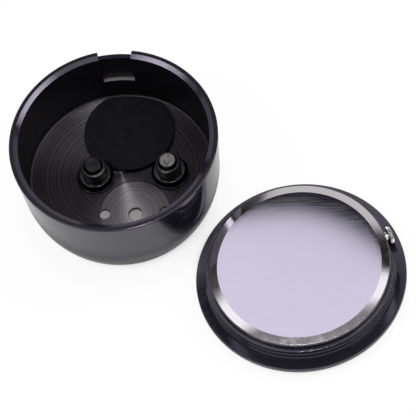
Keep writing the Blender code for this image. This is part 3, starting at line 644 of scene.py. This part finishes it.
def cup_corners(notched):
    """Section of the housing, either plain or through its rim notch and the recess under it."""
    floor = [
        (BORE_FLOOR_RADIUS - 2 * FLOOR_FILLET, FLOOR_Z, 0.0, FLOOR),
        (BORE_FLOOR_RADIUS, FLOOR_Z, FLOOR_FILLET, BORE),
    ]
    if notched:
        recess = bore_radius(NOTCH_Z) + RECESS_CUT
        mouth = [
            (bore_radius(LEDGE_Z), LEDGE_Z, 0.0, EDGE),
            (bore_radius(LEDGE_Z) + RECESS_CUT, LEDGE_Z, 0.0, BORE),
            (recess, NOTCH_Z - NOTCH_EDGE, 0.0, OUTSIDE),
            (recess + NOTCH_EDGE, NOTCH_Z, 0.0, RIM),
            (wall_radius(NOTCH_Z), NOTCH_Z, NOTCH_EDGE, OUTSIDE),
            (wall_radius(NOTCH_Z - EDGE_BREAK), NOTCH_Z - EDGE_BREAK, 0.0, OUTSIDE),
        ]
    else:
        mouth = [
            (bore_radius(LEDGE_Z), LEDGE_Z, 0.0, BORE),
            (bore_radius(LEDGE_Z + NOTCH_EDGE), LEDGE_Z + NOTCH_EDGE, 0.0, BORE),
            (BORE_RADIUS, CUP_HEIGHT - RIM_CHAMFER_DROP, 0.0, MOUTH),
            (RIM_RADIUS - RIM_FLAT_WIDTH, CUP_HEIGHT, 0.0, RIM),
            (RIM_RADIUS, CUP_HEIGHT, EDGE_BREAK, OUTSIDE),
            (wall_radius(NOTCH_Z - EDGE_BREAK), NOTCH_Z - EDGE_BREAK, 0.0, OUTSIDE),
        ]
    bowl = bowl_corners()
    foot = [
        (bowl[-1][0] - EDGE_BREAK, 0.0, 0.0, OUTSIDE),
        (FOOT_INNER_RADIUS, 0.0, EDGE_BREAK, BORE),
        (UNDERSIDE_RADIUS, FLOOR_UNDER_Z, FLOOR_FILLET, BORE),
        (UNDERSIDE_RADIUS - 2 * FLOOR_FILLET, FLOOR_UNDER_Z, 0.0, BORE),
    ]
    return floor + mouth + bowl + foot


def cup_stations():
    """Angles round the housing, each with whether it lies in the notch.

    The notch's sides get a pair each, which share one angle where the notch doesn't reach.
    """
    half = math.radians(NOTCH_ANGLE / 2)
    side_width = NOTCH_EDGE / RIM_RADIUS
    stations = []
    for side in range(SIDES):
        angle = math.tau * side / SIDES
        off_notch = abs(angle - math.pi / 2) - half
        if abs(off_notch) > side_width:
            stations.append((angle, angle, off_notch < 0))
    for direction in (-1, 1):
        shared = math.pi / 2 + direction * half
        stations.append((shared, shared, True))
        stations.append((shared + direction * side_width, shared, False))
    return sorted(stations)


def hole_tool(name, centre, corners, slots):
    builder = bmesh.new()
    spin(builder, corners, SMALL_SIDES)
    return add_mesh(name, builder, slots, Matrix.Translation(CUP_AXIS + centre))


def build_cup():
    slots = finishes(
        "gloss_black", "satin_black", "cup_floor", "cup_rim", "bare_edge_and_highlight", "spot_face", "mouth_edge",
    )
    sections = {notched: round_corners(cup_corners(notched)) for notched in (False, True)}
    stations = cup_stations()
    rings = []
    for index in range(len(sections[False])):
        plain, through_notch = (Vector(sections[notched][index][:2]) for notched in (False, True))
        same = (plain - through_notch).length < WELD
        points = []
        for angle, shared, notched in stations:
            radius, height = through_notch if notched else plain
            turn = shared if same else angle
            points.append((radius * math.cos(turn), radius * math.sin(turn), height))
        rings.append(points)
    builder = bmesh.new()
    skin(builder, rings, [region for _, _, region in sections[False]])
    bmesh.ops.remove_doubles(builder, verts=builder.verts, dist=WELD)
    notch_regions(builder)
    cup = add_mesh("cup_shell", builder, slots, Matrix.Translation(CUP_AXIS))
    spot_z = FLOOR_Z - SPOT_FACE_DEPTH
    tools = [hole_tool("spot_face_tool", SPOT_FACE_CENTRE, [
        (SPOT_FACE_RADIUS, spot_z, 0.0, SPOT),
        (SPOT_FACE_RADIUS + SPOT_FACE_DEPTH, FLOOR_Z + SPOT_FACE_DEPTH, 0.0, SPOT),
    ], slots)]
    for number, (x, y, radius) in enumerate(FLOOR_HOLES):
        tools.append(hole_tool("floor_hole_tool_%d" % number, Vector((x, y, 0.0)), [
            (radius, FLOOR_UNDER_Z - CUT_OVERRUN, 0.0, EDGE),
            (radius, spot_z - COUNTERSINK, 0.0, EDGE),
            (radius + 2 * COUNTERSINK, spot_z + COUNTERSINK, 0.0, EDGE),
        ], slots))
    for side in ("left", "right"):
        tools.append(hole_tool("bolt_hole_tool_" + side, node_axis("mount_washer_" + side) - CUP_AXIS, [
            (BOLT_HOLE_RADIUS, FLOOR_UNDER_Z - CUT_OVERRUN, 0.0, EDGE),
            (BOLT_HOLE_RADIUS, FLOOR_Z + CUT_OVERRUN, 0.0, EDGE),
        ], slots))
    cut(cup, tools)
    dress(cup, "housing", "black_gloss", "housing_cup")


def notch_regions(builder):
    """Finish the recess's ledge and right-hand side as bare metal, which also paints their highlight; the
    left-hand side stays black. Finish the notch's floor as the rim.
    """
    half = math.radians(NOTCH_ANGLE / 2)
    for face in builder.faces:
        middle = face.calc_center_median()
        across = math.atan2(middle.x, middle.y)
        radius = math.hypot(middle.x, middle.y)
        in_wall = bore_radius(middle.z) < radius < wall_radius(middle.z)
        if not in_wall or middle.z < LEDGE_Z - EDGE_BREAK or abs(across) > half + EDGE_BREAK / RIM_RADIUS:
            continue
        if abs(face.normal.z) > LEVEL_SHARE:
            face.material_index = RIM if middle.z > NOTCH_Z - EDGE_BREAK else EDGE
        # Bare metal on the right-hand side alone is a painted highlight.
        elif abs(across - half) < EDGE_BREAK / RIM_RADIUS and middle.z < NOTCH_Z:
            face.material_index = EDGE


def build_pad():
    """Round rubber pad, trimmed to the housing's wall, with a rounded upper edge."""
    low, high = node_box("floor_pad")
    thickness = high.z - low.z
    rounding = thickness / 3
    washers = []
    for washer in ("mount_washer_left", "mount_washer_right"):
        washers.append((node_axis(washer) - CUP_AXIS - PAD_FROM_AXIS, half_width(washer) + SEAT_GAP))

    def reach(angle):
        direction = Vector((math.cos(angle), math.sin(angle), 0.0))
        along = PAD_FROM_AXIS.dot(direction)
        wall = -along + math.sqrt(along ** 2 + PAD_LIMIT ** 2 - PAD_FROM_AXIS.length_squared)
        limits = [PAD_RADIUS, wall]
        for offset, room in washers:
            ahead = offset.dot(direction)
            aside = offset.length_squared - ahead ** 2
            if ahead > 0 and aside < room ** 2:
                limits.append(ahead - math.sqrt(room ** 2 - aside))
        return min(limits)

    rings = [ring(lambda angle: reach(angle) - rounding / 2, low.z)]
    rings.append(ring(reach, low.z + rounding / 2))
    for inset, height in arc((rounding, high.z - rounding), rounding, 180, 90, ARC_STEPS):
        rings.append(ring(lambda angle: reach(angle) - inset, height))
    rings.append(ring(lambda angle: reach(angle) - 2 * rounding, high.z))
    builder = bmesh.new()
    skin(builder, rings, [PLAIN] * len(rings))
    pad = add_mesh("pad_sheet", builder, finishes("pad_rubber"), Matrix.Translation(CUP_AXIS + PAD_FROM_AXIS))
    dress(pad, "housing", "pad_rubber", "floor_pad")


def build_washer(side):
    """Coned washer with a short upright edge, which is lighter from wear and as a painted highlight."""
    node = "mount_washer_" + side
    low, high = node_box(node)
    outer = half_width(node)
    soft = EDGE_BREAK / 2
    builder = bmesh.new()
    spin(builder, [
        (BOLT_HOLE_RADIUS, low.z, 0.0, PLAIN),
        (outer, low.z, soft, WEAR_AND_HIGHLIGHT),
        (outer, low.z + WASHER_EDGE, soft, PLAIN),
        (outer - WASHER_SLOPE, high.z, soft, PLAIN),
        (BOLT_HOLE_RADIUS, high.z, 0.0, PLAIN),
    ], SMALL_SIDES, closed=True)
    slots = finishes("glossy_oxide", "wear_and_highlight_oxide")
    washer = add_mesh("washer_" + side, builder, slots, Matrix.Translation(node_axis(node)))
    dress(washer, "housing", "black_oxide", node)


def build_nut(side):
    """Round nut with a lighter chamfer, from wear and as a painted highlight."""
    node = "mount_nut_" + side
    low, high = node_box(node)
    outer = half_width(node)
    soft = NUT_CHAMFER / 3
    builder = bmesh.new()
    spin(builder, [
        (BOLT_HOLE_RADIUS, low.z, 0.0, PLAIN),
        (outer, low.z, soft, PLAIN),
        (outer, high.z - NUT_CHAMFER, soft, WEAR_AND_HIGHLIGHT),
        (outer - NUT_CHAMFER, high.z, soft, PLAIN),
        (BOLT_HOLE_RADIUS, high.z, 0.0, PLAIN),
    ], SMALL_SIDES, closed=True)
    slots = finishes("black_oxide", "wear_and_highlight_oxide")
    nut = add_mesh("nut_" + side, builder, slots, Matrix.Translation(node_axis(node)))
    dress(nut, "housing", "black_oxide", node)


def build_bolt(side, tip_finish):
    """Socket-head bolt: knurled head under the floor, plain shank, and a threaded end in the nut."""
    node = "mount_bolt_" + side
    low, high = node_box(node)
    head_radius = half_width(node)
    head_top = low.z + BOLT_HEAD_HEIGHT
    socket = hexagon(SOCKET_ACROSS_FLATS)
    knurl = fluted(head_radius, KNURL_DEPTH, KNURLS)
    rings = [ring(socket, low.z + SOCKET_DEPTH), ring(socket, low.z)]
    rings.append(ring(head_radius - BOLT_CHAMFER, low.z))
    rings += [ring(knurl, height) for height in (low.z + BOLT_CHAMFER, head_top - BOLT_CHAMFER)]
    rings.append(ring(head_radius - KNURL_DEPTH, head_top))
    root = BOLT_RADIUS - THREAD_DEPTH
    thread_start = high.z - THREAD_LENGTH
    rings += [ring(root, head_top), ring(root, thread_start)]
    steps = round(STEPS_PER_THREAD * THREAD_LENGTH / THREAD_PITCH)
    for step in range(1, steps + 1):
        height = thread_start + step * (THREAD_LENGTH - BOLT_CHAMFER / 2) / steps
        crest = min(BOLT_RADIUS, BOLT_RADIUS - BOLT_CHAMFER + high.z - height)
        rings.append(ring(threaded(height, crest), height))
    rings.append(ring(BOLT_RADIUS - BOLT_CHAMFER, high.z))
    builder = bmesh.new()
    skin(builder, rings, [SHANK] * (len(rings) - 1) + [TIP])
    slots = finishes("black_oxide", tip_finish)
    bolt = add_mesh("bolt_" + side, builder, slots, Matrix.Translation(node_axis("mount_washer_" + side)))
    dress(bolt, "housing", "black_oxide", node)


def crown_place():
    """Turns what is built upright to run outwards along the stem."""
    aim = Matrix.Rotation(math.radians(CROWN_DIRECTION), 4, "Z") @ Matrix.Rotation(math.pi / 2, 4, "Y")
    return Matrix.Translation(INSERT_AXIS + Vector((0.0, 0.0, STEM_Z))) @ aim


def bezel_corners():
    """Section of the bezel ring: domed front, flange, banded plug, and the seats inside."""
    edge_low = FLANGE_EDGE_Z - FLANGE_EDGE_HEIGHT
    soft = PLUG_STEP / 2
    corners = [(CRYSTAL_SEAT_RADIUS, 0.0, soft, SHELL)]
    for across, up in arc((0.0, 0.0), 1.0, -90, 0, BEZEL_STEPS):
        radius = BEZEL_FACE_RADIUS + (FLANGE_RADIUS - BEZEL_FACE_RADIUS) * across
        corners.append((radius, edge_low + edge_low * up, 0.0, SHELL))
    corners.append((FLANGE_RADIUS, FLANGE_TOP_Z, 2 * soft, FLANGE_TOP))
    band_height = (PLUG_TOP_Z - FLANGE_TOP_Z) / PLUG_BANDS
    for band in range(PLUG_BANDS):
        radius = PLUG_RADIUS - band * PLUG_STEP
        low = FLANGE_TOP_Z + band * band_height + (PLUG_STEP if band else -FLANGE_DISH)
        corners.append((radius, low, soft / 2, SHELL))
        corners.append((radius, FLANGE_TOP_Z + (band + 1) * band_height, soft, SHELL))
    corners[-1] = (*corners[-1][:3], PLUG_END)
    corners += [
        (GASKET_SEAT_RADIUS, PLUG_TOP_Z, soft / 2, SHELL),
        (GASKET_SEAT_RADIUS, PLUG_TOP_Z - GASKET_SEAT_DEPTH, 0.0, SHELL),
        (CASE_BORE_RADIUS, PLUG_TOP_Z - GASKET_SEAT_DEPTH, 0.0, SHELL),
        (CASE_BORE_RADIUS, CASE_BORE_FLOOR_Z, 0.0, SHELL),
        (LIP_RADIUS, CASE_BORE_FLOOR_Z, 0.0, SHELL),
        (LIP_RADIUS, CASE_BORE_FLOOR_Z - LIP_THICKNESS, 0.0, SHELL),
        (CRYSTAL_SEAT_RADIUS, CASE_BORE_FLOOR_Z - LIP_THICKNESS, 0.0, SHELL),
    ]
    return corners


def build_bezel():
    slots = finishes("gloss_black", "plug_end", "flange_top")
    builder = bmesh.new()
    spin(builder, bezel_corners(), closed=True)
    bezel = add_mesh("bezel_shell", builder, slots, Matrix.Translation(INSERT_AXIS))
    builder = bmesh.new()
    bmesh.ops.create_cube(builder, size=FLANGE_RADIUS)
    flat_place = crown_place() @ Matrix.Translation((
        STEM_Z - FLANGE_TOP_Z - EDGE_BREAK / 2 - FLANGE_RADIUS / 2,
        0.0,
        CROWN_FLAT + FLANGE_RADIUS / 2,
    ))
    flat = add_mesh("crown_flat_tool", builder, slots, flat_place)
    builder = bmesh.new()
    spin(builder, [
        (STEM_HOLE_RADIUS, LIP_RADIUS, 0.0, SHELL),
        (STEM_HOLE_RADIUS, FLANGE_RADIUS, 0.0, SHELL),
    ], SMALL_SIDES)
    hole = add_mesh("stem_hole_tool", builder, slots, crown_place())
    cut(bezel, [flat, hole])
    dress(bezel, "clock_case", "black_gloss", "bezel_ring")


def build_back():
    """Steel back: slightly domed brushed disc, a fine step, the sloped polished ring and the inner lip."""
    rim_z = BACK_TOP_Z - DISC_DOME
    corners = []
    for step in range(1, DOME_STEPS + 1):
        share = step / DOME_STEPS
        corners.append((BACK_DISC_RADIUS * share, BACK_TOP_Z - DISC_DOME * share ** DOME_POWER, 0.0, DISC))
    corners += [
        (BACK_DISC_RADIUS + DISC_STEP_WIDTH, rim_z - DISC_STEP_DROP, 0.0, RING),
        (BACK_RADIUS, BACK_TOP_Z - RING_DROP - DISC_DOME, EDGE_BREAK, BACK_EDGE),
        (BACK_RADIUS, BACK_Z, EDGE_BREAK / 2, BACK_EDGE),
        (BACK_LIP_OUTER, BACK_Z, 0.0, RING),
        (BACK_LIP_OUTER, BACK_LIP_Z, 0.0, RING),
        (BACK_LIP_INNER, BACK_LIP_Z, 0.0, RING),
        (BACK_LIP_INNER, BACK_CEILING_Z, 0.0, RING),
    ]
    builder = bmesh.new()
    spin(builder, corners)
    slots = finishes("brushed_disc", "polished_ring", "back_edge")
    back = add_mesh("back_plate", builder, slots, Matrix.Translation(INSERT_AXIS))
    dress(back, "clock_case", "polished_steel", "case_back")


def build_crown():
    """Fluted crown with a domed end."""
    end = CROWN_OUTER - CROWN_INNER
    least = CROWN_FLUTED[-1][1]
    rings = [ring(CROWN_BORE_RADIUS, CROWN_BORE_END), ring(CROWN_BORE_RADIUS, CROWN_INNER)]
    for along, size in CROWN_FLUTED:
        depth = TOOTH_DEPTH * min(1.0, TOOTH_FADE * (size - least) + TOOTH_LEAST)
        rings.append(ring(fluted(CROWN_RADIUS * size, depth, CROWN_TEETH), CROWN_INNER + along * end))
    for along, size in CROWN_END:
        rings.append(ring(CROWN_RADIUS * size, CROWN_INNER + along * end))
    builder = bmesh.new()
    skin(builder, rings, [PLAIN] * len(rings))
    # The crown's darker nickel is painted shade.
    crown = add_mesh("crown_knob", builder, finishes("shaded_crown_nickel"), crown_place())
    dress(crown, "crown_and_stem", "nickel", "crown")


def build_stem():
    """Stem with the groove that the setting lever holds."""
    builder = bmesh.new()
    spin(builder, [
        (STEM_RADIUS, STEM_INNER, 0.0, PLAIN),
        (STEM_RADIUS, STEM_GROOVE[0], 0.0, PLAIN),
        (STEM_GROOVE_RADIUS, STEM_GROOVE[0], 0.0, PLAIN),
        (STEM_GROOVE_RADIUS, STEM_GROOVE[1], 0.0, PLAIN),
        (STEM_RADIUS, STEM_GROOVE[1], 0.0, PLAIN),
        (STEM_RADIUS, STEM_OUTER, 0.0, PLAIN),
    ], SMALL_SIDES)
    stem = add_mesh("stem_rod", builder, finishes("nickel"), crown_place())
    dress(stem, "crown_and_stem", "nickel", "winding_stem")


def build_tube():
    """Tube that guides the stem through the case wall."""
    builder = bmesh.new()
    inner, outer = TUBE_RADII
    spin(builder, [
        (inner, TUBE_SPAN[0], 0.0, PLAIN),
        (outer, TUBE_SPAN[0], 0.0, PLAIN),
        (outer, TUBE_SPAN[1], TUBE_ROUNDING, PLAIN),
        (inner, TUBE_SPAN[1], TUBE_ROUNDING, PLAIN),
    ], SMALL_SIDES, closed=True)
    tube = add_mesh("stem_sleeve", builder, finishes("nickel"), crown_place())
    dress(tube, "clock_case", "nickel", "stem_tube")


def finish_cad_nodes():
    """Finish the CAD nodes that stay: the face and the works inside the insert."""
    chosen = {
        "crystal": "clear_glass",
        "crystal_gasket": "gasket_rubber",
        "chapter_ring": "hand_black",
        "dial": "dial_white",
        "hour_hand": "hand_black",
        "minute_hand": "hand_black",
        "second_hand": "nickel",
        "movement": "brass",
        "movement_holder": "holder_plastic",
        "battery": "nickel",
        "battery_clip": "nickel",
        "case_back_gasket": "gasket_rubber",
        "setting_lever": "nickel",
    }
    for node, finish in chosen.items():
        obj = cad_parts[node]
        obj.data.materials.clear()
        obj.data.materials.append(FINISHES[finish])


def combine(owner, operation, first, second):
    """One value from two, such as the larger."""
    node = add_node(owner, "ShaderNodeMath", operation=operation)
    link(owner, first, node.inputs[0])
    link(owner, second, node.inputs[1])
    return node.outputs[0]


def seen_rays(owner):
    """A value of 1 for camera, glossy and transmission rays, and 0 for all others."""
    path = add_node(owner, "ShaderNodeLightPath")
    total = path.outputs["Is Camera Ray"]
    for name in ("Is Glossy Ray", "Is Transmission Ray"):
        total = combine(owner, "MAXIMUM", total, path.outputs[name])
    return total


def between(owner, value, low, high, full=1.0):
    """Move a value from the span 0 to full into the span low to high. Each end is a number or a socket."""
    span = add_node(owner, "ShaderNodeMapRange", value=value, from_max=full, to_min=low, to_max=high)
    return span.outputs["Result"]


def stepped(owner, value, stops):
    """A grey level that follows stops of (value, level), for values from -1 to 1."""
    span = add_node(owner, "ShaderNodeMapRange", value=value, from_min=-1.0)
    ramp = add_node(owner, "ShaderNodeValToRGB", fac=span.outputs["Result"])
    elements = ramp.color_ramp.elements
    while len(elements) < len(stops):
        elements.new(1.0)
    for element, (at, level) in zip(elements, stops):
        element.position = (at + 1) / 2
        element.color = (level, level, level, 1.0)
    return ramp.outputs["Color"]


def build_world():
    """White studio with dark gaps, which only glossy rays see and the polished steel mirrors."""
    world = bpy.data.worlds.new("white_studio")
    bpy.context.scene.world = world
    world.use_nodes = True
    background = world.node_tree.nodes["Background"]
    background.inputs["Color"].default_value = (1.0, 1.0, 1.0, 1.0)
    towards = add_node(world, "ShaderNodeTexCoord").outputs["Generated"]
    azimuth = math.radians(CAMERA_AZIMUTH)
    right = Vector((math.cos(azimuth), math.sin(azimuth), 0.0))
    away = Vector((-math.sin(azimuth), math.cos(azimuth), 0.0))
    greys = []
    for (away_share, right_share), stops in GAPS:
        along = add_node(world, "ShaderNodeVectorMath", operation="DOT_PRODUCT")
        along.inputs[1].default_value = away_share * away + right_share * right
        link(world, towards, along.inputs[0])
        greys.append(stepped(world, along.outputs["Value"], stops))
    shade = greys[0]
    for grey in greys[1:]:
        shade = combine(world, "MINIMUM", shade, grey)
    glossy = add_node(world, "ShaderNodeLightPath").outputs["Is Glossy Ray"]
    seen = between(world, seen_rays(world), WORLD_LEVEL, 1.0)
    link(world, between(world, glossy, seen, shade), background.inputs["Strength"])


def build_floor():
    """White floor that glows for the camera, less so where the object stands close over it.

    In reflections the object's shadow on it is deeper.
    """
    half = FLOOR_HALF_WIDTH
    corners = [(-half, -half, 0.0), (half, -half, 0.0), (half, half, 0.0), (-half, half, 0.0)]
    mesh = bpy.data.meshes.new("floor")
    mesh.from_pydata(corners, [], [(0, 1, 2, 3)])
    floor = bpy.data.objects.new("floor", mesh)
    bpy.context.collection.objects.link(floor)
    material, shader = new_finish("white_floor", (FLOOR_GREY, FLOOR_GREY, FLOOR_GREY), 0.9)
    sky = add_node(material, "ShaderNodeAmbientOcclusion", distance=CONTACT_REACH * MM).outputs["AO"]
    shown = between(material, sky, *FLOOR_GLOW, CONTACT_SHARE)
    mirrored = between(material, sky, *MIRRORED_GLOW)
    glossy = add_node(material, "ShaderNodeLightPath").outputs["Is Glossy Ray"]
    share = between(material, seen_rays(material), 0.0, between(material, glossy, shown, mirrored))
    glow = add_node(material, "ShaderNodeEmission")
    mix = add_node(material, "ShaderNodeMixShader", fac=share)
    link(material, shader.outputs["BSDF"], mix.inputs[1])
    link(material, glow.outputs["Emission"], mix.inputs[2])
    surface = material.node_tree.nodes["Material Output"].inputs["Surface"]
    link(material, mix.outputs["Shader"], surface)
    mesh.materials.append(material)


def add_softbox(name, place, size, power, turn):
    """Rectangular lamp that faces the housing."""
    lamp = bpy.data.lights.new(name, "AREA")
    lamp.shape = "RECTANGLE"
    lamp.size, lamp.size_y = size
    lamp.energy = power
    obj = bpy.data.objects.new(name, lamp)
    obj.location = place
    obj.rotation_euler = (CUP_AXIS * MM - obj.location).to_track_quat("-Z", "Y").to_euler()
    obj.rotation_euler.rotate_axis("Z", math.radians(turn))
    bpy.context.collection.objects.link(obj)


def build_camera():
    angles = (CAMERA_ELEVATION, CAMERA_AZIMUTH, CAMERA_ROLL)
    elevation, azimuth, roll = (math.radians(angle) for angle in angles)
    back = Vector((
        math.sin(azimuth) * math.cos(elevation),
        -math.cos(azimuth) * math.cos(elevation),
        math.sin(elevation),
    ))
    level = Vector((math.cos(azimuth), math.sin(azimuth), 0.0))
    upright = back.cross(level)
    right = math.cos(roll) * level + math.sin(roll) * upright
    up = math.cos(roll) * upright - math.sin(roll) * level
    data = bpy.data.cameras.new("photo_camera")
    data.sensor_width = SENSOR_WIDTH
    data.lens = FOCAL_PIXELS / FRAME_PIXELS * SENSOR_WIDTH
    camera = bpy.data.objects.new("photo_camera", data)
    bpy.context.collection.objects.link(camera)
    turn = Matrix((right, up, back)).transposed().to_4x4()
    camera.matrix_world = Matrix.Translation((CAMERA_TARGET + back * CAMERA_DISTANCE) * MM) @ turn
    bpy.context.scene.camera = camera


build_cup()
build_pad()
# The right bolt's tip is lighter than the left's: a painted highlight.
for fastener_side, tip in (("left", "black_oxide"), ("right", "wear_and_highlight_oxide")):
    build_washer(fastener_side)
    build_nut(fastener_side)
    build_bolt(fastener_side, tip)
build_bezel()
build_back()
build_crown()
build_stem()
build_tube()
finish_cad_nodes()
build_world()
build_floor()
for softbox in SOFTBOXES:
    add_softbox(*softbox)
build_camera()
bpy.context.scene.view_settings.view_transform = "Standard"
